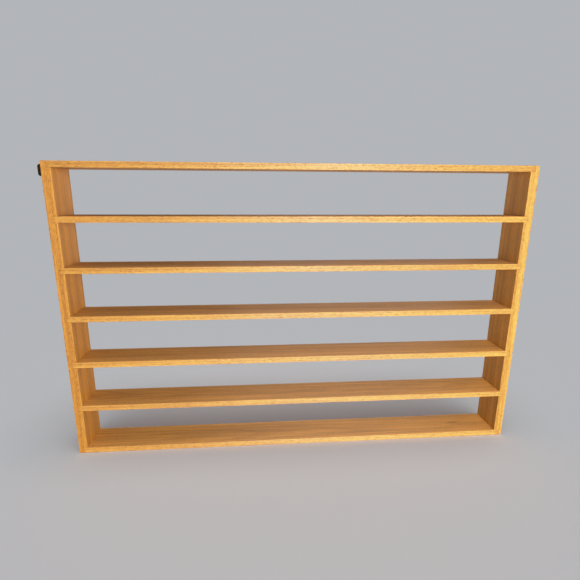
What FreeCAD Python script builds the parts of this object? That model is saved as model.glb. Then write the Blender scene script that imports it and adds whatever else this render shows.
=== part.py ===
"""Open-backed display shelf in oak.

Two sides carry a bottom board, five shelves and a top board in housings cut right across them.
Panel pins hold each housing, filler hides the punched pin heads, and a plate screwed to the back
of each top corner holds the unit to a wall.
Millimetres, with the origin under the middle of the bottom board: X right, Y to the wall, Z up.
"""

import FreeCAD, Part
import math
import os
import Sketcher

SHELF_COUNT = 5

SIZES = (
    ("width", 650, "over the outer faces of the sides"),
    ("height", 412, "underside of the bottom board to the upper face of the top board"),
    ("depth", 50, "front edge to back edge of every board"),
    ("side_thick", 12, "thickness of a side"),
    ("board_thick", 8, "thickness of the top, the bottom and each shelf"),
    ("end_row_clear", 60, "clear height of the lowest row and of the highest row"),
    ("housing_depth", 6, "how far the end of a board goes into a side"),
    ("joint_gap", 0.1, "glue line beyond the end of a board and above it"),
    ("arris", 0.6, "rounding of the edges of a board"),
    ("pin_dia", 1.6, "shank of a panel pin"),
    ("pin_length", 25, "head to point of a panel pin"),
    ("pin_tip", 3, "length of a pin's point"),
    ("pin_head_dia", 2.6, "head of a panel pin"),
    ("pin_head_thick", 1, "thickness of a pin's head"),
    ("pin_set", 1.5, "depth of a punched head below the face of a side"),
    ("pin_inset", 14, "pin centre from the front or the back edge"),
    ("pin_gap", 0.05, "clearance all round a pin and its filler"),
    ("plate_height", 16, "height of a wall plate"),
    ("plate_thick", 1.5, "thickness of a wall plate"),
    ("plate_ear", 29, "reach of a wall plate beyond the outer face of its side"),
    ("plate_margin", 1, "inner end of a wall plate to the inner face of its side"),
    ("plate_drop", 1, "top edge of a wall plate below the top of the unit"),
    ("plate_corner", 3.5, "corner radius of a wall plate"),
    ("plate_rim", 0.3, "rounding of the rim of a wall plate"),
    ("wall_hole_dia", 5, "hole for the screw into the wall"),
    ("wall_hole_inset", 10, "wall hole's centre from the outer end of the plate"),
    ("screw_spread", 8, "distance between the two screws of a plate"),
    ("screw_dia", 2.5, "shank of a plate screw"),
    ("screw_length", 12, "head to point of a plate screw"),
    ("screw_tip", 3, "length of a screw's point"),
    ("screw_head_dia", 5, "countersunk head of a plate screw"),
    ("screw_slot_width", 0.8, "slot in a screw head"),
    ("screw_slot_depth", 0.6, "slot in a screw head"),
    ("screw_gap", 0.05, "clearance all round a plate screw"),
)

FIRST_LEVEL = "(dims.board_thick + dims.end_row_clear)"
LAST_LEVEL = "(dims.height - 2 * dims.board_thick - dims.end_row_clear)"
PITCH = f"(({LAST_LEVEL} - {FIRST_LEVEL}) / {SHELF_COUNT - 1})"
LEVELS = {"bottom_board": "0"}
for shelf in range(SHELF_COUNT):
    LEVELS[f"shelf_{shelf + 1}"] = f"({FIRST_LEVEL} + {shelf} * {PITCH})"
LEVELS["top_board"] = "(dims.height - dims.board_thick)"

PIN_REACH = "(dims.depth / 2 - dims.pin_inset)"
PLATE_LEVEL = "(dims.height - dims.plate_drop - dims.plate_height / 2)"
PLATE_SCREW_X = "(dims.side_thick - dims.housing_depth) / 2"

X_AXIS = FreeCAD.Vector(1, 0, 0)
Y_AXIS = FreeCAD.Vector(0, 1, 0)
Z_AXIS = FreeCAD.Vector(0, 0, 1)
LINE_START, LINE_END, CENTRE = range(1, 4)
SKETCH_ORIGIN = (-1, LINE_START)
FULL_TURN = 360
HALF_TURN = 180
COUNTERSINK_ANGLE = 90
PARALLEL_ANGLE = 0.001

doc = FreeCAD.newDocument("display_shelf")
bodies = []


def write_sheet():
    """Put the driving sizes into the sheet, each in a cell with its own alias."""
    sheet = doc.addObject("Spreadsheet::Sheet", "dims")
    for row, (alias, value, note) in enumerate(SIZES, start=1):
        sheet.set(f"A{row}", note)
        sheet.set(f"B{row}", str(value))
        sheet.setAlias(f"B{row}", alias)
    doc.recompute()


def new_body(label):
    """Start the body of one node."""
    body = doc.addObject("PartDesign::Body", label)
    body.Label = label
    bodies.append(body)
    return body


def place(body, x="0", y="0", z="0", turn_axis=Z_AXIS, turn=0):
    """Turn a body by whole degrees and bind its position to the sheet."""
    body.Placement = FreeCAD.Placement(FreeCAD.Vector(), FreeCAD.Rotation(turn_axis, turn))
    for axis, expression in (("x", x), ("y", y), ("z", z)):
        body.setExpression(f"Placement.Base.{axis}", expression)


def origin_plane(body, role):
    """Find one of a body's own origin planes."""
    return next(item for item in body.Origin.OriginFeatures if item.Role == role)


def new_sketch(body, name, role, x="0", y="0", lift="0"):
    """Attach a sketch to an origin plane, shifted in that plane and lifted along its normal."""
    sketch = body.newObject("Sketcher::SketchObject", f"{body.Name}_{name}")
    sketch.AttachmentSupport = (origin_plane(body, role), [""])
    sketch.MapMode = "FlatFace"
    for axis, expression in (("x", x), ("y", y), ("z", lift)):
        sketch.setExpression(f"AttachmentOffset.Base.{axis}", expression)
    return sketch


def bind(sketch, constraint, expression):
    """Add a constraint whose value follows the sheet."""
    index = sketch.addConstraint(constraint)
    sketch.setExpression(f"Constraints[{index}]", expression)


def fix_point(sketch, geometry, point, x, y):
    """Hold one point of a sketch at bound coordinates."""
    bind(sketch, Sketcher.Constraint("DistanceX", *SKETCH_ORIGIN, geometry, point, 0.0), x)
    bind(sketch, Sketcher.Constraint("DistanceY", *SKETCH_ORIGIN, geometry, point, 0.0), y)


def draw_outline(sketch, corners):
    """Draw a closed outline of straight lines through bound corners."""
    count = len(corners)
    angles = [2 * math.pi * n / count for n in range(count)]
    start = [FreeCAD.Vector(math.cos(angle), math.sin(angle), 0) for angle in angles]
    first = sketch.GeometryCount
    for n in range(count):
        sketch.addGeometry(Part.LineSegment(start[n], start[(n + 1) % count]), False)
    for n in range(count):
        following = first + (n + 1) % count
        sketch.addConstraint(
            Sketcher.Constraint("Coincident", first + n, LINE_END, following, LINE_START)
        )
        fix_point(sketch, first + n, LINE_START, *corners[n])


def draw_rectangle(sketch, left, right, low, high):
    """Draw a rectangle between bound limits."""
    draw_outline(sketch, [(left, low), (right, low), (right, high), (left, high)])


def draw_circle(sketch, x, y, diameter):
    """Draw a circle with a bound centre and diameter."""
    circle = sketch.addGeometry(Part.Circle(FreeCAD.Vector(), Z_AXIS, 1), False)
    fix_point(sketch, circle, CENTRE, x, y)
    bind(sketch, Sketcher.Constraint("Diameter", circle, 1.0), diameter)


def new_feature(body, kind, name, sketch, backwards=False):
    """Add a feature made from a sketch, along the sketch's normal or against it."""
    feature = body.newObject(f"PartDesign::{kind}", f"{body.Name}_{name}")
    feature.Profile = sketch
    feature.Reversed = backwards
    return feature


def pad(body, name, sketch, length, backwards=False):
    """Raise a sketch into a solid."""
    feature = new_feature(body, "Pad", name, sketch, backwards)
    feature.setExpression("Length", length)
    doc.recompute()
    return feature


def pocket(body, name, sketch, depth, backwards=False):
    """Sink a sketch into the body."""
    feature = new_feature(body, "Pocket", name, sketch, backwards)
    feature.setExpression("Length", depth)
    doc.recompute()
    return feature


def drill(body, name, sketch, diameter, backwards=False):
    """Drill right through the body at each circle of a sketch."""
    doc.recompute()
    feature = new_feature(body, "Hole", name, sketch, backwards)
    feature.DepthType = "ThroughAll"
    feature.setExpression("Diameter", diameter)
    doc.recompute()
    return feature


def revolve(body, name, sketch, axis):
    """Turn a half profile into a round solid about an axis of its sketch."""
    feature = new_feature(body, "Revolution", name, sketch)
    feature.ReferenceAxis = (sketch, [axis])
    feature.Angle = FULL_TURN
    doc.recompute()
    return feature


def mirror(body, name, feature, role):
    """Add the mirror image of the whole body so far."""
    image = body.newObject("PartDesign::Mirrored", f"{body.Name}_{name}")
    image.Originals = [feature]
    image.TransformMode = "Whole shape"
    image.MirrorPlane = (origin_plane(body, role), [""])
    body.Tip = image
    doc.recompute()
    return image


def edges_along(feature, direction):
    """Name the straight edges of a feature that run along a direction."""
    names = []
    for number, edge in enumerate(feature.Shape.Edges, start=1):
        if not isinstance(edge.Curve, Part.Line):
            continue
        angle = edge.tangentAt(edge.FirstParameter).getAngle(direction)
        if abs(math.sin(angle)) < PARALLEL_ANGLE:
            names.append(f"Edge{number}")
    return names


def ease(body, name, feature, edges, radius):
    """Round the named edges of a feature."""
    fillet = body.newObject("PartDesign::Fillet", f"{body.Name}_{name}")
    fillet.Base = (feature, edges)
    fillet.setExpression("Radius", radius)
    doc.recompute()
    return fillet


def housing_span(label):
    """Lower and upper limit of the housing that takes one board."""
    level = LEVELS[label]
    if label == "bottom_board":
        return "-dims.height", "dims.board_thick + dims.joint_gap"
    if label == "top_board":
        return f"{level} - dims.joint_gap", "2 * dims.height"
    return level, f"{level} + dims.board_thick + dims.joint_gap"


def draw_pin_circles(sketch, diameter):
    """Draw a circle round each pin of one side, two to a board."""
    for level in LEVELS.values():
        for reach in (f"-{PIN_REACH}", PIN_REACH):
            draw_circle(sketch, reach, f"{level} + dims.board_thick / 2", diameter)


def make_side(label, hand):
    """One side: a plank with its edges eased, housed across for the boards and drilled for the pins.

    It is drawn with its outer face at X = 0, and the right one is turned half round, so the back edge,
    which takes the plate screws, is at +Y on the left side and at -Y on the right one.
    """
    body = new_body(label)
    outline = new_sketch(body, "outline", "YZ_Plane")
    draw_rectangle(outline, "-dims.depth / 2", "dims.depth / 2", "0", "dims.height")
    plank = pad(body, "plank", outline, "dims.side_thick")
    all_edges = [f"Edge{number + 1}" for number in range(len(plank.Shape.Edges))]
    ease(body, "eased", plank, all_edges, "dims.arris")

    housings = new_sketch(body, "housings", "YZ_Plane", lift="dims.side_thick")
    for board in LEVELS:
        draw_rectangle(housings, "-dims.depth", "dims.depth", *housing_span(board))
    pocket(body, "housed", housings, "dims.housing_depth")

    pins = new_sketch(body, "pin_holes", "YZ_Plane")
    draw_pin_circles(pins, "dims.pin_dia + 2 * dims.pin_gap")
    drilled = drill(body, "drilled", pins, "dims.pin_dia + 2 * dims.pin_gap", backwards=True)
    drilled.HoleCutType = "Counterbore"
    drilled.HoleCutCustomValues = True
    drilled.setExpression("HoleCutDiameter", "dims.pin_head_dia + 2 * dims.pin_gap")
    drilled.setExpression("HoleCutDepth", "dims.pin_set + dims.pin_head_thick")
    doc.recompute()

    pilots = new_sketch(body, "pilot_holes", "XZ_Plane", lift=f"{hand} * dims.depth / 2")
    for sign in (-1, 1):
        pilot_z = f"{PLATE_LEVEL} + {sign} * dims.screw_spread / 2"
        draw_circle(pilots, PLATE_SCREW_X, pilot_z, "dims.screw_dia + 2 * dims.screw_gap")
    pilot_depth = "dims.screw_length - dims.plate_thick + dims.screw_gap"
    pocket(body, "piloted", pilots, pilot_depth, backwards=hand < 0)
    place(body, x=f"{hand} * dims.width / 2", turn=HALF_TURN if hand > 0 else 0)


def make_board(label, level):
    """One horizontal board: long edges eased, ends square in their housings, a pin hole at each corner."""
    body = new_body(label)
    half_length = "(dims.width / 2 - dims.side_thick + dims.housing_depth - dims.joint_gap)"
    outline = new_sketch(body, "outline", "XY_Plane")
    draw_rectangle(outline, f"-{half_length}", half_length, "-dims.depth / 2", "dims.depth / 2")
    plank = pad(body, "plank", outline, "dims.board_thick")
    ease(body, "eased", plank, edges_along(plank, X_AXIS), "dims.arris")

    pins = new_sketch(body, "pin_holes", "YZ_Plane", lift=half_length)
    for reach in (f"-{PIN_REACH}", PIN_REACH):
        draw_circle(pins, reach, "dims.board_thick / 2", "dims.pin_dia + 2 * dims.pin_gap")
    end_from_face = "(dims.side_thick - dims.housing_depth + dims.joint_gap)"
    hole_depth = f"dims.pin_length + dims.pin_set - {end_from_face} + dims.pin_gap"
    drilled = pocket(body, "drilled", pins, hole_depth)
    other_end = body.newObject("PartDesign::Mirrored", f"{label}_other_end")
    other_end.Originals = [drilled]
    other_end.MirrorPlane = (origin_plane(body, "YZ_Plane"), [""])
    body.Tip = other_end
    place(body, z=level)


def make_pins(label, level):
    """The four panel pins of one board, driven through the sides into its ends."""
    body = new_body(label)
    profile = new_sketch(
        body,
        "profile",
        "XY_Plane",
        x="dims.pin_set - dims.width / 2",
        y=f"-{PIN_REACH}",
        lift="dims.board_thick / 2",
    )
    outline = [
        ("0", "0"),
        ("dims.pin_length", "0"),
        ("dims.pin_length - dims.pin_tip", "dims.pin_dia / 2"),
        ("dims.pin_head_thick", "dims.pin_dia / 2"),
        ("dims.pin_head_thick", "dims.pin_head_dia / 2"),
        ("0", "dims.pin_head_dia / 2"),
    ]
    draw_outline(profile, outline)
    pin = revolve(body, "pin", profile, "H_Axis")
    pair = mirror(body, "pair", pin, "XZ_Plane")
    mirror(body, "four", pair, "YZ_Plane")
    place(body, z=level)


def make_fillers(label, hand):
    """The plugs of filler over the pin heads of one side, flush with its outer face."""
    body = new_body(label)
    circles = new_sketch(body, "circles", "YZ_Plane")
    draw_pin_circles(circles, "dims.pin_head_dia")
    pad(body, "plugs", circles, "dims.pin_set")
    place(body, x=f"{hand} * dims.width / 2", turn=HALF_TURN if hand > 0 else 0)


def place_on_back(body, hand):
    """Put a wall plate or its screws behind the top of a side; the right one is turned half over."""
    turn = HALF_TURN if hand > 0 else 0
    place(body, f"{hand} * dims.width / 2", "dims.depth / 2", PLATE_LEVEL, Y_AXIS, turn)


def make_wall_plate(label, hand):
    """One flat steel plate: two countersunk holes over the side, a wall screw hole in its ear."""
    body = new_body(label)
    outline = new_sketch(body, "outline", "XZ_Plane")
    inner_end = "dims.side_thick - dims.plate_margin"
    half_height = "dims.plate_height / 2"
    draw_rectangle(outline, "-dims.plate_ear", inner_end, f"-{half_height}", half_height)
    blank = pad(body, "blank", outline, "dims.plate_thick", backwards=True)
    rounded = ease(body, "rounded", blank, edges_along(blank, Y_AXIS), "dims.plate_corner")
    rim = []
    for number, edge in enumerate(rounded.Shape.Edges, start=1):
        if edge.BoundBox.YLength < edge.Length / 2:
            rim.append(f"Edge{number}")
    ease(body, "rimmed", rounded, rim, "dims.plate_rim")

    screws = new_sketch(body, "screw_holes", "XZ_Plane", lift="-dims.plate_thick")
    for sign in (-1, 1):
        screw_z = f"{sign} * dims.screw_spread / 2"
        draw_circle(screws, PLATE_SCREW_X, screw_z, "dims.screw_dia + 2 * dims.screw_gap")
    sunk = drill(body, "sunk", screws, "dims.screw_dia + 2 * dims.screw_gap", backwards=True)
    sunk.HoleCutType = "Countersink"
    sunk.HoleCutCustomValues = True
    sunk.HoleCutCountersinkAngle = COUNTERSINK_ANGLE
    sunk.setExpression("HoleCutDiameter", "dims.screw_head_dia + 2 * dims.screw_gap")
    doc.recompute()

    wall = new_sketch(body, "wall_hole", "XZ_Plane", lift="-dims.plate_thick")
    draw_circle(wall, "dims.wall_hole_inset - dims.plate_ear", "0", "dims.wall_hole_dia")
    drill(body, "pierced", wall, "dims.wall_hole_dia", backwards=True)
    place_on_back(body, hand)


def make_plate_screws(label, hand):
    """The two slotted countersunk screws that hold one wall plate, heads flush with its back."""
    body = new_body(label)
    profile = new_sketch(
        body, "profile", "XY_Plane", x=PLATE_SCREW_X, lift="dims.screw_spread / 2"
    )
    head_radius = "dims.screw_head_dia / 2"
    shank_radius = "dims.screw_dia / 2"
    point = "dims.plate_thick - dims.screw_length"
    outline = [
        ("0", point),
        (shank_radius, f"{point} + dims.screw_tip"),
        (shank_radius, f"dims.plate_thick - ({head_radius} - {shank_radius})"),
        (head_radius, "dims.plate_thick"),
        ("0", "dims.plate_thick"),
    ]
    draw_outline(profile, outline)
    revolve(body, "screw", profile, "V_Axis")
    slot = new_sketch(
        body,
        "slot",
        "XZ_Plane",
        x=PLATE_SCREW_X,
        y="dims.screw_spread / 2",
        lift="-dims.plate_thick",
    )
    half_slot = "dims.screw_slot_width / 2"
    draw_rectangle(slot, "-dims.screw_head_dia", "dims.screw_head_dia", f"-{half_slot}", half_slot)
    slotted = pocket(body, "slotted", slot, "dims.screw_slot_depth", backwards=True)
    mirror(body, "pair", slotted, "XY_Plane")
    place_on_back(body, hand)


def check_document():
    """Stop if an object failed, a cut removed nothing or a node has no sound shape."""
    doc.recompute()
    for item in doc.Objects:
        if "Invalid" in item.State or "Error" in item.State:
            raise RuntimeError(f"{item.Name} failed: {item.State}")
        cuts = item.isDerivedFrom("PartDesign::Pocket") or item.isDerivedFrom("PartDesign::Hole")
        if cuts and item.Shape.Volume >= item.BaseFeature.Shape.Volume:
            raise RuntimeError(f"{item.Name} removes nothing")
    for body in bodies:
        if body.Shape.isNull() or not body.Shape.isValid():
            raise RuntimeError(f"{body.Label} has no sound shape")


def write_nodes():
    """Write each node's shape under its own name."""
    os.makedirs("parts", exist_ok=True)
    for body in bodies:
        body.Shape.exportStep(f"parts/{body.Label}.step")


write_sheet()
for side_name, side_hand in (("left", -1), ("right", 1)):
    make_side(f"{side_name}_side", side_hand)
    make_fillers(f"{side_name}_pin_fillers", side_hand)
    make_wall_plate(f"{side_name}_wall_plate", side_hand)
    make_plate_screws(f"{side_name}_plate_screws", side_hand)
for board_name, board_level in LEVELS.items():
    make_board(board_name, board_level)
    make_pins(f"{board_name}_pins", board_level)
check_document()
write_nodes()
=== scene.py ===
"""Looks of an open-backed oak display shelf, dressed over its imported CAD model."""

import math
import random

import bmesh
import bpy
from mathutils import Euler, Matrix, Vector, noise


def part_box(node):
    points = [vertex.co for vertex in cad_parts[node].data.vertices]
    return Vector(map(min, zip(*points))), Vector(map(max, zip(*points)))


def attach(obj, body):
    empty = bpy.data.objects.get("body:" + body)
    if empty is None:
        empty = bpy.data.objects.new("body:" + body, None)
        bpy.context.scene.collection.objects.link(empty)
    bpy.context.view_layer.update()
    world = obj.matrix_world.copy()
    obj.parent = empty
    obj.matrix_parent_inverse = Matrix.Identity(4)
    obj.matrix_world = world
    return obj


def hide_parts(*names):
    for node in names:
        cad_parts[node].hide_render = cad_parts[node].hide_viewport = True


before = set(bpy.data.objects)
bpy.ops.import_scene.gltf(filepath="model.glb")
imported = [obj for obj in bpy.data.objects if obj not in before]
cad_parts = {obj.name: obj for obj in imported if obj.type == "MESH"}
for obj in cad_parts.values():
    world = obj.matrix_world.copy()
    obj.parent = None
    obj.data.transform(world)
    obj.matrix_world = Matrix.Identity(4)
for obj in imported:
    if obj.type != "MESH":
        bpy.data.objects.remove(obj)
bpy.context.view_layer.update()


# Sides: two upright oak planks, rift sawn, so their grain runs straight up in close lines.
# Each is planed, housed across for the boards and lacquered in satin amber.
# Their arrises were eased by hand, and use has rubbed them unevenly and knocked them here and there.

X, Y, Z = range(3)
MERGE = 1e-6
SIDE_STEP = 0.004
ARRIS_REACH = 0.00062
RUB_LONG = 0.011
RUB_LONG_SHARE = 0.35
RUB_SHORT = 0.003
RUB_SHORT_SHARE = 0.22
RUB_MOST = 2.2
RUB_CHANCE = 50
KNOCKS = 5
KNOCK_REACH = (0.0008, 0.0022)
KNOCK_DEPTH = (0.4, 1.5)

log = random.Random(11)


def near_faces(point, low, high):
    """The sides of a plank's box that a point lies against, as axis and place."""
    near = []
    for axis in (X, Y, Z):
        if point[axis] - low[axis] < ARRIS_REACH:
            near.append((axis, low[axis]))
        elif high[axis] - point[axis] < ARRIS_REACH:
            near.append((axis, high[axis]))
    return near


def cut_arrises(shape, low, high, along, step):
    """Cut the rounded arrises across at even steps, so that they can be rubbed unevenly."""
    axis = Vector()
    axis[along] = 1.0
    rounded = {vert for vert in shape.verts if len(near_faces(vert.co, low, high)) > 1}
    faces = [face for face in shape.faces if rounded.issuperset(face.verts)]
    edges = dict.fromkeys(edge for face in faces for edge in face.edges)
    verts = dict.fromkeys(vert for face in faces for vert in face.verts)
    parts = [*verts, *edges, *faces]
    place = low[along] + step
    while place < high[along]:
        cut = bmesh.ops.bisect_plane(shape, geom=parts, dist=MERGE, plane_co=axis * place, plane_no=axis)
        parts = cut["geom"]
        place += step


def rub_arrises(shape, low, high, along):
    """Widen and narrow the rounding of the arrises by chance, with a few knocks on the front ones."""
    seed = Vector([log.uniform(-RUB_CHANCE, RUB_CHANCE) for _ in (X, Y, Z)])
    through = X if along == Z else Z
    knocks = []
    for _ in range(KNOCKS):
        place = log.uniform(low[along], high[along])
        face = log.choice((low[through], high[through]))
        knocks.append((place, face, log.uniform(*KNOCK_REACH), log.uniform(*KNOCK_DEPTH)))
    for vert in shape.verts:
        near = near_faces(vert.co, low, high)
        if len(near) < 2:
            continue
        rub = 1.0 + RUB_LONG_SHARE * noise.noise(vert.co / RUB_LONG + seed)
        rub += RUB_SHORT_SHARE * noise.noise(vert.co / RUB_SHORT - seed)
        for place, face, reach, depth in knocks:
            if vert.co.y < 0 and abs(vert.co[through] - face) < 2 * ARRIS_REACH:
                rub += depth * math.exp(-((vert.co[along] - place) / reach) ** 2)
        corner = vert.co.copy()
        for axis, face in near:
            corner[axis] = face
        vert.co = corner + (vert.co - corner) * min(rub, RUB_MOST)


def put_in_order(parts, place):
    """Put a mesh's points or faces in order of place, so that every run lists them alike."""
    for rank, part in enumerate(sorted(parts, key=place)):
        part.index = rank
    parts.sort()


def add_piece(name, shape, node, material):
    """Make a finished mesh the visible form of a CAD node."""
    bmesh.ops.triangulate(shape, faces=shape.faces[:])
    put_in_order(shape.verts, lambda vert: vert.co[:])
    put_in_order(shape.faces, lambda face: face.calc_center_median()[:])
    mesh = bpy.data.meshes.new(name)
    shape.to_mesh(mesh)
    shape.free()
    mesh.materials.append(material)
    piece = bpy.data.objects.new(name, mesh)
    bpy.context.scene.collection.objects.link(piece)
    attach(piece, "root")
    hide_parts(node)


# From here to the loop over the sides, the oak finish, with sizes in millimetres.
# Each pattern has spots per millimetre as its scale, and a small run draws it out along the grain

MM = 1000.0
MIX_SHARE, MIX_FIRST, MIX_SECOND, MIX_RESULT = 0, 6, 7, 2


def feed(tree, socket, value):
    """Join a socket to another one, or set it to a plain value."""
    if isinstance(value, bpy.types.NodeSocket):
        tree.links.new(value, socket)
    else:
        socket.default_value = value


def calc(tree, operation, *terms):
    """One step of arithmetic on numbers and sockets."""
    node = tree.nodes.new("ShaderNodeMath")
    node.operation = operation
    for socket, term in zip(node.inputs, terms):
        feed(tree, socket, term)
    return node.outputs[0]


def square_sum(tree, first, second):
    """The squares of two distances, added."""
    return calc(tree, "ADD", calc(tree, "POWER", first, 2.0), calc(tree, "POWER", second, 2.0))


def fade(tree, value, start, end, low=0.0, high=1.0):
    """Rise smoothly from low to high while value goes from start to end."""
    node = tree.nodes.new("ShaderNodeMapRange")
    node.interpolation_type = "SMOOTHSTEP"
    feed(tree, node.inputs["Value"], value)
    feed(tree, node.inputs["From Min"], start)
    feed(tree, node.inputs["From Max"], end)
    feed(tree, node.inputs["To Min"], low)
    feed(tree, node.inputs["To Max"], high)
    return node.outputs[0]


def by_edge(tree, off, half, start, end, most=1.0):
    """Rise from 0 to most beside an edge that is half away from the middle, from start to end short of it."""
    return fade(tree, calc(tree, "ABSOLUTE", off), half - start, half - end, high=most)


def speckle(tree, place, scale, run=1.0, deep=1.0, detail=2.0, roughness=0.5):
    """Cloudy noise from 0 to 1, drawn out along the grain by run and through the thickness by deep."""
    drawn = tree.nodes.new("ShaderNodeVectorMath")
    drawn.operation = "MULTIPLY"
    tree.links.new(place, drawn.inputs[0])
    drawn.inputs[1].default_value = (run, 1, deep)
    node = tree.nodes.new("ShaderNodeTexNoise")
    tree.links.new(drawn.outputs[0], node.inputs["Vector"])
    node.inputs["Scale"].default_value = scale
    node.inputs["Detail"].default_value = detail
    node.inputs["Roughness"].default_value = roughness
    return node.outputs[0]


def tint(tree, share, first, second):
    """Mix two colours by a share of the second."""
    node = tree.nodes.new("ShaderNodeMix")
    node.data_type = "RGBA"
    feed(tree, node.inputs[MIX_SHARE], share)
    feed(tree, node.inputs[MIX_FIRST], first)
    feed(tree, node.inputs[MIX_SECOND], second)
    return node.outputs[MIX_RESULT]


def shade(tree, colour, brightness):
    """Multiply a colour by a brightness."""
    node = tree.nodes.new("ShaderNodeVectorMath")
    node.operation = "SCALE"
    tree.links.new(colour, node.inputs[0])
    tree.links.new(brightness, node.inputs["Scale"])
    return node.outputs[0]


def new_finish(name):
    """A material with its node tree and its surface shader."""
    material = bpy.data.materials.new(name)
    material.use_nodes = True
    return material, material.node_tree, material.node_tree.nodes["Principled BSDF"]


def piece_place(tree, centre, upright=False, along=0.0):
    """Millimetres from a piece's centre: X along its length, Y to the back, Z through its thickness."""
    turn = Euler((0, math.pi / 2 if upright else 0, 0))
    mapping = tree.nodes.new("ShaderNodeMapping")
    coordinates = tree.nodes.new("ShaderNodeTexCoord")
    tree.links.new(coordinates.outputs["Object"], mapping.inputs["Vector"])
    mapping.inputs["Scale"].default_value = (MM, MM, MM)
    mapping.inputs["Rotation"].default_value = turn
    mapping.inputs["Location"].default_value = Vector((along, 0, 0)) - turn.to_matrix() @ centre * MM
    return mapping.outputs[0]


def split(tree, place):
    """A place as its three distances."""
    node = tree.nodes.new("ShaderNodeSeparateXYZ")
    tree.links.new(place, node.inputs[0])
    return node.outputs


RING_WIDTH = 2.4
RING_SWAY = 9.0
RING_RIPPLE = 2.2
SWAY = {"scale": 0.022, "run": 0.10}
RIPPLE = {"scale": 0.16, "run": 0.08}
NOISE_MIDDLE = 0.5
EARLY_RISE = (0.0, 0.12)
EARLY_FALL = (0.22, 0.85)


def growth_rings(tree, place, from_middle, width, depth, pith, lean):
    """Share of early wood, in rings that sway and ripple round a pith leaning along the plank."""
    pith_width, pith_depth = pith
    sway = calc(tree, "SUBTRACT", speckle(tree, place, **SWAY), NOISE_MIDDLE)
    ripple = calc(tree, "SUBTRACT", speckle(tree, place, **RIPPLE), NOISE_MIDDLE)
    off_width = calc(tree, "SUBTRACT", width, pith_width)
    off_depth = calc(tree, "SUBTRACT", depth, calc(tree, "MULTIPLY_ADD", from_middle, lean, pith_depth))
    radius = calc(tree, "SQRT", square_sum(tree, off_width, off_depth))
    radius = calc(tree, "MULTIPLY_ADD", sway, RING_SWAY, radius)
    radius = calc(tree, "MULTIPLY_ADD", ripple, RING_RIPPLE, radius)
    ring = calc(tree, "FRACT", calc(tree, "DIVIDE", radius, RING_WIDTH))
    return calc(tree, "SUBTRACT", fade(tree, ring, *EARLY_RISE), fade(tree, ring, *EARLY_FALL))


PORE = {"scale": 2.6, "run": 0.09, "detail": 1.0}
PORE_BAND = (0.58, 0.70)
CROWD = {"scale": 0.55, "run": 0.30, "detail": 1.0}
CROWD_BAND = (0.50, 0.66)
LATE_PORES = 0.30


def open_pores(tree, place, early, on_edge, edge_pores):
    """Short strokes along the grain, most in the early wood, torn wider and crowded on the narrow edges."""
    crowd = calc(tree, "MULTIPLY", fade(tree, speckle(tree, place, **CROWD), *CROWD_BAND), on_edge)
    strokes = calc(tree, "MULTIPLY_ADD", crowd, edge_pores, speckle(tree, place, **PORE))
    room = calc(tree, "MULTIPLY_ADD", early, 1 - LATE_PORES, LATE_PORES)
    return calc(tree, "MULTIPLY", fade(tree, strokes, *PORE_BAND), room)


PORE_ROUGH = 0.15
SATIN_BAND = (0.2, 0.8)
SATIN_ROUGH = (0.55, 0.65)
FIBRE_RELIEF = 0.25
RELIEF_STRENGTH = 0.5
RELIEF_DEPTH = 0.0002


def satin_lacquer(tree, shader, pore, fibre, cloud, grain, upright):
    """Lacquer that is duller in the pores and shows the relief of pores and fibres."""
    rough = calc(tree, "MULTIPLY_ADD", pore, PORE_ROUGH, fade(tree, cloud, *SATIN_BAND, *SATIN_ROUGH))
    tree.links.new(rough, shader.inputs["Roughness"])
    shader.inputs["Specular IOR Level"].default_value = grain["gloss"]

    # The fibres spread the gloss across the grain, not along it
    across_grain = tree.nodes.new("ShaderNodeTangent")
    across_grain.direction_type = "RADIAL"
    across_grain.axis = "Z" if upright else "X"
    tree.links.new(across_grain.outputs[0], shader.inputs["Tangent"])
    shader.inputs["Anisotropic"].default_value = grain["gloss_spread"]

    bump = tree.nodes.new("ShaderNodeBump")
    bump.inputs["Strength"].default_value = RELIEF_STRENGTH
    bump.inputs["Distance"].default_value = RELIEF_DEPTH
    relief = calc(tree, "SUBTRACT", calc(tree, "MULTIPLY", fibre, FIBRE_RELIEF), pore)
    tree.links.new(relief, bump.inputs["Height"])
    tree.links.new(bump.outputs[0], shader.inputs["Normal"])


OAK_PALE = (0.64, 0.285, 0.045, 1)
# The honey oak is more orange than the pale one, partly as painted shade on the left plank
OAK_HONEY_AND_SHADE = (0.65, 0.266, 0.035, 1)
OAK_BROWN = (0.36, 0.135, 0.017, 1)
OAK_PORE = (0.17, 0.056, 0.010, 1)
OAK_WORN = (0.72, 0.38, 0.085, 1)
LOG_REACH = 4000
EDGE_BAND = (0.7, 0.2)
FACE_STAIN = 0.42
EDGE_STAIN = 0.80
FIBRE = {"scale": 1.7, "run": 0.03, "detail": 3.0, "roughness": 0.65}
FIBRE_BAND = (0.35, 0.70)
FIBRE_BROWN = 0.30
FLECK = {"scale": 0.8, "run": 0.12, "deep": 0.5, "detail": 1.0}
FLECK_BAND = (0.62, 0.74)
FLECK_PALE = 0.22
TICK = {"scale": 0.75, "run": 0.28, "detail": 2.0, "roughness": 0.6}
TICK_BAND = (0.38, 0.62)
TICK_SPREAD = 0.12
FACE_TICKS = 0.4
STRIPE = {"run": 0.012, "detail": 3.0, "roughness": 0.6}
STRIPE_BAND = (0.36, 0.64)
CLOUD = {"scale": 0.035, "run": 0.2}
CLOUD_BAND = (0.25, 0.75)
CLOUD_SPREAD = 0.05
WEAR = {"scale": 0.06, "detail": 3.0, "roughness": 0.6}
WEAR_BAND = (0.42, 0.62)
WEAR_SHARE = (0.05, 0.55)
WEAR_START = 1.0
RIM = 0.1
END_BROWN = 0.45


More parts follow.
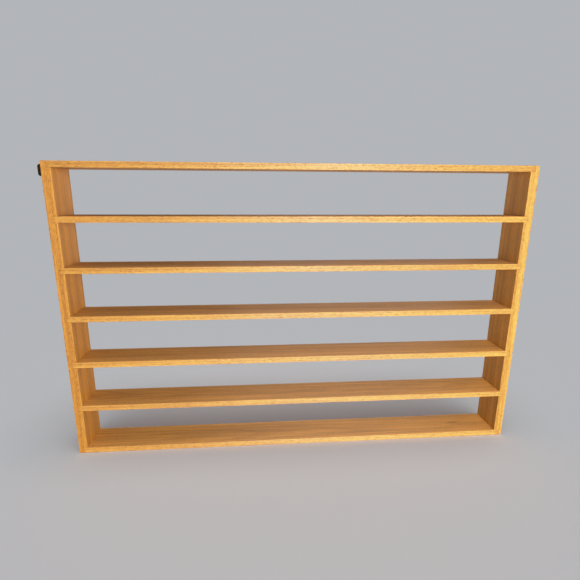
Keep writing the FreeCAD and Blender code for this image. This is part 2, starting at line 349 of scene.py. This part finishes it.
def oak(name, node, grain, upright=False, mark=None):
    """Oak as it lies in the log, worn along its arrises and lacquered; mark may add to its colour."""
    low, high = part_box(node)
    half = (high - low) / 2 * MM
    half_length, half_thick = (half.z, half.x) if upright else (half.x, half.z)
    pith = (log.uniform(*grain["pith_width"]), log.uniform(*grain["pith_depth"]))
    lean = log.uniform(-grain["lean"], grain["lean"])
    along = log.uniform(-LOG_REACH, LOG_REACH)
    material, tree, shader = new_finish(name)
    place = piece_place(tree, (low + high) / 2, upright, along)
    length, width, depth = split(tree, place)
    from_middle = calc(tree, "SUBTRACT", length, along)
    fibre = speckle(tree, place, **FIBRE)
    cloud = speckle(tree, place, **CLOUD)

    # Early wood and fibres are browner, flecks paler
    early = growth_rings(tree, place, from_middle, width, depth, pith, lean)
    brown = fade(tree, fibre, *FIBRE_BAND, high=FIBRE_BROWN)
    brown = calc(tree, "MULTIPLY_ADD", early, grain["rings"], brown)
    colour = tint(tree, brown, grain["pale"], OAK_BROWN)
    fleck = fade(tree, speckle(tree, place, **FLECK), *FLECK_BAND, high=FLECK_PALE)
    colour = tint(tree, fleck, colour, OAK_WORN)

    # The pores hold stain, less of it on the faces, where lacquer fills them
    on_edge = by_edge(tree, width, half.y, *EDGE_BAND)
    pore = open_pores(tree, place, early, on_edge, grain["edge_pores"])
    stain = calc(tree, "MULTIPLY", pore, fade(tree, on_edge, 0.0, 1.0, FACE_STAIN, EDGE_STAIN))
    colour = tint(tree, stain, colour, OAK_PORE)

    # Short light and dark ticks mottle the wood, most of all on the narrow edges
    tick = fade(tree, speckle(tree, place, **TICK), *TICK_BAND, -TICK_SPREAD, TICK_SPREAD)
    tick_share = fade(tree, on_edge, 0.0, 1.0, FACE_TICKS, 1.0)
    colour = shade(tree, colour, calc(tree, "MULTIPLY_ADD", tick, tick_share, 1.0))

    # Long stripes and broad clouds vary the brightness
    stripe = speckle(tree, place, 1 / grain["stripe_width"], **STRIPE)
    colour = shade(tree, colour, fade(tree, stripe, *STRIPE_BAND, 1 - grain["stripe"], 1 + grain["stripe"]))
    # The tone scales the brightness of the whole piece and carries its painted shade
    darkest = (1 - CLOUD_SPREAD) * grain["tone_and_shade"]
    brightest = (1 + CLOUD_SPREAD) * grain["tone_and_shade"]
    colour = shade(tree, colour, fade(tree, cloud, *CLOUD_BAND, darkest, brightest))
    if mark:
        colour = mark(tree, colour, fibre, from_middle, width, depth)

    # Arrises are worn paler in places, and the sawn ends drink more lacquer and go darker
    near_edge = by_edge(tree, width, half.y, WEAR_START, RIM)
    near_face = by_edge(tree, depth, half_thick, WEAR_START, RIM)
    arris = calc(tree, "MULTIPLY", near_edge, near_face)
    worn = fade(tree, speckle(tree, place, **WEAR), *WEAR_BAND, *WEAR_SHARE)
    colour = tint(tree, calc(tree, "MULTIPLY", arris, worn), colour, OAK_WORN)
    end = by_edge(tree, from_middle, half_length, grain["end_stain"], RIM, END_BROWN)
    colour = tint(tree, end, colour, OAK_BROWN)
    tree.links.new(colour, shader.inputs["Base Color"])
    satin_lacquer(tree, shader, pore, fibre, cloud, grain, upright)
    return material


SIDE_GRAIN = {
    "pith_width": (45, 60),
    "pith_depth": (-30, -20),
    "lean": 0.01,
    "rings": 0.28,
    "stripe_width": 7.0,
    "edge_pores": 0.09,
    "end_stain": 0.6,
    "gloss": 0.35,
    "gloss_spread": 0.3,
}
# The left plank is a darker, more orange oak: partly a difference in the wood, partly painted shade of the
# dimmer light on the left
SIDES = {
    "left_side": {"pale": OAK_HONEY_AND_SHADE, "tone_and_shade": 0.88, "stripe": 0.12},
    "right_side": {"pale": OAK_PALE, "tone_and_shade": 0.91, "stripe": 0.16},
}

for node, look in SIDES.items():
    low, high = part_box(node)
    shape = bmesh.new()
    shape.from_mesh(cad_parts[node].data)
    bmesh.ops.remove_doubles(shape, verts=shape.verts, dist=MERGE)
    cut_arrises(shape, low, high, Z, SIDE_STEP)
    rub_arrises(shape, low, high, Z)
    finish = oak(f"oak_{node}", node, {**SIDE_GRAIN, **look}, upright=True)
    add_piece(f"{node}_plank", shape, node, finish)


# Boards: bottom, five shelves and top, flat-sawn oak with the grain lengthwise, finished like the sides.
# They are glued and pinned in the housings of the sides, and only their long arrises are eased.
# The bottom board has a short dark mineral streak in its upper face.

BOARD_STEP = 0.003
BOARD_ARRIS = 0.0006
BOARD_ARRIS_FACETS = 4
BOARD_GRAIN = {
    "pith_width": (-30, 30),
    "pith_depth": (-55, -30),
    "lean": 0.03,
    "pale": OAK_PALE,
    "rings": 0.20,
    "stripe": 0.14,
    "stripe_width": 3.5,
    "edge_pores": 0.14,
    "end_stain": 4.5,
    "gloss": 0.8,
    "gloss_spread": 0.7,
}
# Board tones darken towards the top board: partly a difference between the boards, partly painted shade where
# the light falls off upward
BOARD_TONE_AND_SHADE = {
    "bottom_board": 1.03,
    "shelf_1": 1.02,
    "shelf_2": 1.04,
    "shelf_3": 1.01,
    "shelf_4": 0.97,
    "shelf_5": 0.98,
    "top_board": 0.92,
}
STREAK_DARK = (0.13, 0.034, 0.007, 1)
STREAK_ALONG = 257.0
STREAK_BACK = 2.2
STREAK_HALF_LENGTH = 10.0
STREAK_HALF_WIDTH = 1.3
STREAK_RAGGED = 1.5
STREAK_BAND = (1.75, 1.1)
STREAK_SHARE = 0.85
STREAK_SKIN = (0.0, 1.0)


def mineral_streak(tree, colour, fibre, from_middle, width, depth):
    """Darken a short ragged patch of the upper face."""
    off_along = calc(tree, "SUBTRACT", from_middle, STREAK_ALONG)
    off_back = calc(tree, "SUBTRACT", width, STREAK_BACK)
    off_along = calc(tree, "DIVIDE", off_along, STREAK_HALF_LENGTH)
    off_back = calc(tree, "DIVIDE", off_back, STREAK_HALF_WIDTH)
    ragged = calc(tree, "MULTIPLY_ADD", fibre, STREAK_RAGGED, square_sum(tree, off_along, off_back))
    streak = fade(tree, ragged, *STREAK_BAND, high=STREAK_SHARE)
    upper = fade(tree, depth, *STREAK_SKIN)
    return tint(tree, calc(tree, "MULTIPLY", streak, upper), colour, STREAK_DARK)


BOARD_MARKS = {"bottom_board": mineral_streak}

for node, tone_and_shade in BOARD_TONE_AND_SHADE.items():
    low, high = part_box(node)
    size = high - low
    shape = bmesh.new()
    bmesh.ops.create_cube(shape, size=1.0)
    bmesh.ops.scale(shape, vec=size, verts=shape.verts)
    bmesh.ops.translate(shape, vec=(low + high) / 2, verts=shape.verts)
    long_edges = [edge for edge in shape.edges if abs(edge.verts[0].co.x - edge.verts[1].co.x) > size.y]
    bmesh.ops.subdivide_edges(shape, edges=long_edges, cuts=int(size.x / BOARD_STEP), use_grid_fill=True)
    arrises = [edge for edge in shape.edges if abs(edge.verts[0].co.x - edge.verts[1].co.x) > MERGE]
    bmesh.ops.bevel(
        shape,
        geom=arrises,
        offset=BOARD_ARRIS,
        offset_type="OFFSET",
        segments=BOARD_ARRIS_FACETS,
        profile=0.5,
        affect="EDGES",
        material=-1,
    )
    rub_arrises(shape, low, high, X)
    finish = oak(f"oak_{node}", node, {**BOARD_GRAIN, "tone_and_shade": tone_and_shade}, mark=BOARD_MARKS.get(node))
    add_piece(f"{node}_plank", shape, node, finish)


# Panel pins: bright steel wire with small heads, driven through the sides into the ends of the boards.
# They are punched below the surface, so nothing of them shows.

STEEL = (0.56, 0.56, 0.57, 1)
STEEL_DULL = (0.30, 0.30, 0.31, 1)
WIRE_STREAK = {"scale": 3.0, "run": 0.3, "detail": 3.0}
WIRE_BAND = (0.3, 0.7)
WIRE_ROUGH = (0.28, 0.45)


def drawn_steel(name):
    """Bright wire with dull streaks along it."""
    material, tree, shader = new_finish(name)
    streak = speckle(tree, piece_place(tree, Vector()), **WIRE_STREAK)
    tree.links.new(tint(tree, streak, STEEL, STEEL_DULL), shader.inputs["Base Color"])
    tree.links.new(fade(tree, streak, *WIRE_BAND, *WIRE_ROUGH), shader.inputs["Roughness"])
    shader.inputs["Metallic"].default_value = 1.0
    return material


def dress(node, material):
    """Give a CAD piece its finish."""
    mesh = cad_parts[node].data
    mesh.materials.clear()
    mesh.materials.append(material)


pin_steel = drawn_steel("pin_steel_wire")
for node in BOARD_TONE_AND_SHADE:
    dress(f"{node}_pins", pin_steel)


# Pin fillers: plugs of oak-coloured filler over the punched heads of the pins.
# They are rubbed down flush with the outer faces of the sides and lacquered over.

FILLER_TAN = (0.42, 0.18, 0.045, 1)
FILLER_BROWN = (0.26, 0.10, 0.024, 1)
GRIT = {"scale": 2.4, "detail": 4.0, "roughness": 0.7}
GRIT_BAND = (0.3, 0.7)
GRIT_ROUGH = (0.42, 0.58)


def filler(name):
    """Fine grainy filler with no run of grain."""
    material, tree, shader = new_finish(name)
    grit = speckle(tree, piece_place(tree, Vector()), **GRIT)
    tree.links.new(tint(tree, grit, FILLER_TAN, FILLER_BROWN), shader.inputs["Base Color"])
    tree.links.new(fade(tree, grit, *GRIT_BAND, *GRIT_ROUGH), shader.inputs["Roughness"])
    return material


pin_filler = filler("oak_filler")
for node in ("left_pin_fillers", "right_pin_fillers"):
    dress(node, pin_filler)


# Wall plates: stamped steel, bronzed dark, with rounded corners and an ear for a wall screw.
# Two countersunk screws hold each one to the back edge of its side.

BRONZE_DARK = (0.030, 0.021, 0.015, 1)
BRONZE_BROWN = (0.060, 0.040, 0.026, 1)
BRONZE_BARE = (0.24, 0.175, 0.11, 1)
BRONZE_CLOUD = {"scale": 0.9, "detail": 4.0, "roughness": 0.6}
BRONZE_BAND = (0.35, 0.65)
BRONZE_ROUGH_BAND = (0.3, 0.7)
BRONZE_ROUGH = (0.34, 0.50)
BRONZE_METALLIC = 0.85
SCRATCH = {"scale": 1.6, "run": 0.25, "detail": 4.0, "roughness": 0.7}
SCRATCH_BAND = (0.60, 0.75)
SCRATCH_BARE = 0.3
PLATE_RIM_WIDTH = 0.5
PLATE_RIM_BARE = 0.55


def bronzed_steel(name, bare):
    """Dark bronzing, finely clouded and rubbed thin in places; bare gives how far it is rubbed."""
    material, tree, shader = new_finish(name)
    place = piece_place(tree, Vector())
    cloud = speckle(tree, place, **BRONZE_CLOUD)
    colour = tint(tree, fade(tree, cloud, *BRONZE_BAND), BRONZE_DARK, BRONZE_BROWN)
    scratch = fade(tree, speckle(tree, place, **SCRATCH), *SCRATCH_BAND, high=SCRATCH_BARE)
    rubbed = calc(tree, "MAXIMUM", scratch, bare(tree, place))
    tree.links.new(tint(tree, rubbed, colour, BRONZE_BARE), shader.inputs["Base Color"])
    tree.links.new(fade(tree, cloud, *BRONZE_ROUGH_BAND, *BRONZE_ROUGH), shader.inputs["Roughness"])
    shader.inputs["Metallic"].default_value = BRONZE_METALLIC
    return material


def off_right_centre(tree, place, centre):
    """Distances along X and Z from the centre of the right-hand piece, mirrored for the left one."""
    x, _, z = split(tree, place)
    off_x = calc(tree, "SUBTRACT", calc(tree, "ABSOLUTE", x), centre.x)
    return off_x, calc(tree, "SUBTRACT", z, centre.z)


def plate_rim(tree, place):
    """Rubbing along the long rims and the ends of the plates."""
    low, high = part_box("right_wall_plate")
    half = (high - low) / 2 * MM
    off_x, off_z = off_right_centre(tree, place, (low + high) / 2 * MM)
    rim_x = by_edge(tree, off_x, half.x, PLATE_RIM_WIDTH, 0.0, PLATE_RIM_BARE)
    rim_z = by_edge(tree, off_z, half.z, PLATE_RIM_WIDTH, 0.0, PLATE_RIM_BARE)
    return calc(tree, "MAXIMUM", rim_x, rim_z)


plate_bronze = bronzed_steel("plate_bronze", plate_rim)
for node in ("left_wall_plate", "right_wall_plate"):
    dress(node, plate_bronze)


# Plate screws: slotted countersunk wood screws, bronzed like the plates.
# The driver has rubbed their slots and rims bright.

HEAD_RADIUS = 2.5
HEAD_RIM_START = 0.6
HEAD_RIM_END = 0.1
HEAD_BARE = (0.15, 0.8)


def screw_rim(tree, place):
    """Rubbing round the rim of each head; the two heads lie above and below the middle of the plate."""
    low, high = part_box("right_plate_screws")
    head_height = (high.z - low.z) / 2 * MM - HEAD_RADIUS
    off_x, off_z = off_right_centre(tree, place, (low + high) / 2 * MM)
    off_head = calc(tree, "SUBTRACT", calc(tree, "ABSOLUTE", off_z), head_height)
    radius = calc(tree, "SQRT", square_sum(tree, off_x, off_head))
    return fade(tree, radius, HEAD_RADIUS - HEAD_RIM_START, HEAD_RADIUS - HEAD_RIM_END, *HEAD_BARE)


screw_bronze = bronzed_steel("screw_bronze", screw_rim)
for node in ("left_plate_screws", "right_plate_screws"):
    dress(node, screw_bronze)


# Stage: a pale floor that runs out into a background of the same grey, in a dim, slightly cool room light.
# A key light stands near the viewer, a little to the right, with a panel behind the shelf and a light above.
# Low lights behind and beside the shelf reach its back and outer faces, and the floor has one of its own.

FLOOR_GREY = 0.68
FLOOR_RADIUS = 60.0
FLOOR_SIDES = 96
ROOM_COOL = (0.78, 0.97, 1.30)
ROOM_LEVEL = 0.10
SHELF_MIDDLE = (0, 0, 0.20)
OVERHEAD_PLACE = (0.1, -0.35, 2.5)
OVERHEAD_SPREAD = math.radians(40)
TOP_LEVEL = 0.9
FLOOR_LEVEL = 1.85
KEY_AIM = (0.60, 0, 0.20)
PANELS = {
    "key": {"place": (0.23, -1.20, 0.40), "power": 29.2, "size": (0.40, 0.80), "aim": KEY_AIM},
    "rear_panel": {"place": (0.18, 0.60, 0.40), "power": 1.07, "size": (0.70, 0.30)},
    "rear_fill": {"place": (-0.10, 2.00, 0.12), "power": 10.0, "size": (0.80, 0.20), "glossy": False},
    "left_strip": {"place": (-1.50, 0, 0.22), "power": 2.5, "size": (0.08, 0.40), "glossy": False},
    "right_strip": {"place": (1.50, 0, 0.22), "power": 2.5, "size": (0.08, 0.40), "glossy": False},
}

shape = bmesh.new()
bmesh.ops.create_circle(shape, cap_ends=True, segments=FLOOR_SIDES, radius=FLOOR_RADIUS)
floor_mesh = bpy.data.meshes.new("floor")
shape.to_mesh(floor_mesh)
shape.free()
floor = bpy.data.objects.new("floor", floor_mesh)
bpy.context.scene.collection.objects.link(floor)
floor_finish, _, shader = new_finish("floor_pale")
shader.inputs["Base Color"].default_value = (FLOOR_GREY, FLOOR_GREY, FLOOR_GREY, 1)
shader.inputs["Roughness"].default_value = 1.0
shader.inputs["Specular IOR Level"].default_value = 0.0
floor_mesh.materials.append(floor_finish)

# The camera sees the far floor's grey as the background, and the object sees the room light
overhead_rise = (Vector(OVERHEAD_PLACE) - Vector(SHELF_MIDDLE)).normalized().z
floor_share = FLOOR_LEVEL * overhead_rise / math.pi
far_floor = [FLOOR_GREY * (ROOM_LEVEL * part + floor_share) for part in ROOM_COOL]
world = bpy.data.worlds.new("studio")
bpy.context.scene.world = world
world.use_nodes = True
tree = world.node_tree
room = tree.nodes["Background"]
room.inputs["Color"].default_value = (*ROOM_COOL, 1)
room.inputs["Strength"].default_value = ROOM_LEVEL
backdrop = tree.nodes.new("ShaderNodeBackground")
backdrop.inputs["Color"].default_value = (*far_floor, 1)
ray = tree.nodes.new("ShaderNodeLightPath")
seen = tree.nodes.new("ShaderNodeMixShader")
tree.links.new(ray.outputs["Is Camera Ray"], seen.inputs[0])
tree.links.new(room.outputs[0], seen.inputs[1])
tree.links.new(backdrop.outputs[0], seen.inputs[2])
tree.links.new(seen.outputs[0], tree.nodes["World Output"].inputs["Surface"])

all_but_floor = bpy.data.collections.new("all_but_floor")
all_but_floor.objects.link(floor)
all_but_floor.collection_objects[0].light_linking.link_state = "EXCLUDE"
only_floor = bpy.data.collections.new("only_floor")
only_floor.objects.link(floor)


def add_light(name, kind, place, aim, level, lit):
    """Stand a light at a place and turn it to its aim; lit says what it shines on."""
    lamp = bpy.data.lights.new(name, kind)
    lamp.energy = level
    light = bpy.data.objects.new(name, lamp)
    bpy.context.scene.collection.objects.link(light)
    light.location = place
    light.rotation_euler = (Vector(aim) - Vector(place)).to_track_quat("-Z", "Y").to_euler()
    light.visible_camera = False
    light.light_linking.receiver_collection = lit
    return light


def add_panel(name, place, power, size, aim=SHELF_MIDDLE, glossy=True):
    """A flat rectangular light that leaves the floor alone; glossy says if the lacquer mirrors it."""
    panel = add_light(name, "AREA", place, aim, power, all_but_floor)
    panel.visible_glossy = glossy
    panel.data.shape = "RECTANGLE"
    panel.data.size, panel.data.size_y = size


def add_overhead(name, level, lit):
    """A broad soft light from above."""
    overhead = add_light(name, "SUN", OVERHEAD_PLACE, SHELF_MIDDLE, level, lit)
    overhead.data.angle = OVERHEAD_SPREAD


for name, panel in PANELS.items():
    add_panel(name, **panel)
add_overhead("top_light", TOP_LEVEL, all_but_floor)
add_overhead("floor_light", FLOOR_LEVEL, only_floor)


# Camera: at the photograph's viewpoint, a little left of the middle and near the height of the top board.
# It looks slightly down through a wide lens.

CAMERA_PLACE = (-0.0573, -0.5569, 0.3737)
CAMERA_LOOK = (0.07726, 0.96835, -0.23732)
CAMERA_ROLL = math.radians(0.275)
LENS = 24.505
SENSOR = 36.0
ALL_CHANNELS = 3
TONE_ROLL = ((0.2, 0.2), (0.4, 0.4), (0.6, 0.6), (0.85, 0.79), (1.1, 0.895))
TONE_TOP = (1.6, 1.0)

lens = bpy.data.cameras.new("camera")
lens.lens = LENS
lens.sensor_width = SENSOR
camera = bpy.data.objects.new("camera", lens)
bpy.context.scene.collection.objects.link(camera)
camera.location = CAMERA_PLACE
look = Vector(CAMERA_LOOK).to_track_quat("-Z", "Y").to_matrix()
camera.rotation_euler = (look @ Euler((0, 0, CAMERA_ROLL)).to_matrix()).to_euler()
bpy.context.scene.camera = camera

# The brightest tones roll off gently, so that the lit edges stay golden
picture = bpy.context.scene.view_settings
picture.view_transform = "Standard"
picture.use_curve_mapping = True
tones = picture.curve_mapping
tones.clip_max_x = TONE_TOP[0]
every_tone = tones.curves[ALL_CHANNELS]
every_tone.points[-1].location = TONE_TOP
for level, shown in TONE_ROLL:
    every_tone.points.new(level, shown)
tones.update()
